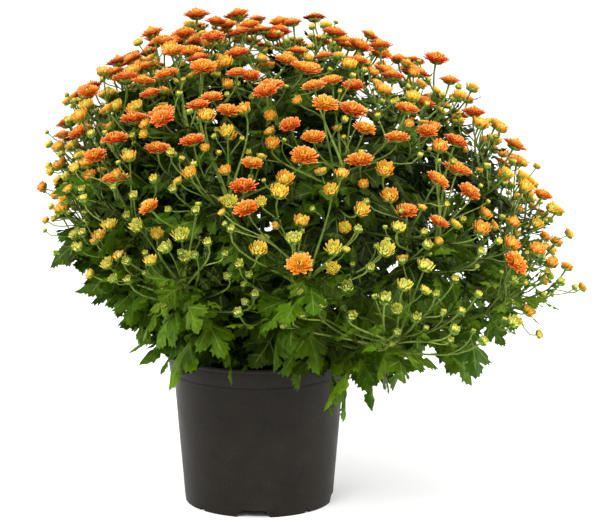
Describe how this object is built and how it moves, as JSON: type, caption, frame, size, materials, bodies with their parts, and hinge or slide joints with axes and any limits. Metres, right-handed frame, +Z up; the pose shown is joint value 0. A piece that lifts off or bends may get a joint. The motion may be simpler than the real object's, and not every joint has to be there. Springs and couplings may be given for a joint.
{
  "type": "pot chrysanthemum",
  "caption": "Bushy flowering chrysanthemum plant in soil in a round tapered nursery pot, with leafy branching stems that carry open heads, half-open heads and buds in a dome.",
  "frame": {"origin": "centre of the flat disc in the middle of the pot's underside, on the pot's axis, at the surface that the pot stands on", "axes": "+Z up along the pot's axis, -Y towards the front that the picture shows, +X to the right as seen from the front, the side that the plant leans to"},
  "size_m": [0.5828, 0.5899, 0.5585],
  "materials": {
    "pot_plastic": "satin charcoal injection-moulded plastic",
    "soil": "moist dark potting mix",
    "plant": "fresh green leaves and stems under orange and yellow flower heads"
  },
  "bodies": {
    "root": {"pot": "pot_plastic", "soil": "soil", "stem_01": "plant", "stem_02": "plant", "stem_03": "plant", "stem_04": "plant", "stem_05": "plant", "stem_06": "plant", "stem_07": "plant", "stem_08": "plant", "stem_09": "plant", "stem_10": "plant", "stem_11": "plant", "stem_12": "plant", "stem_13": "plant", "stem_14": "plant", "stem_15": "plant", "stem_16": "plant", "stem_17": "plant", "stem_18": "plant", "stem_19": "plant", "stem_20": "plant", "stem_21": "plant", "stem_22": "plant", "stem_23": "plant", "stem_24": "plant", "stem_25": "plant", "stem_26": "plant", "stem_27": "plant", "stem_28": "plant", "stem_29": "plant", "stem_30": "plant", "stem_31": "plant", "stem_32": "plant"}
  },
  "joints": []
}
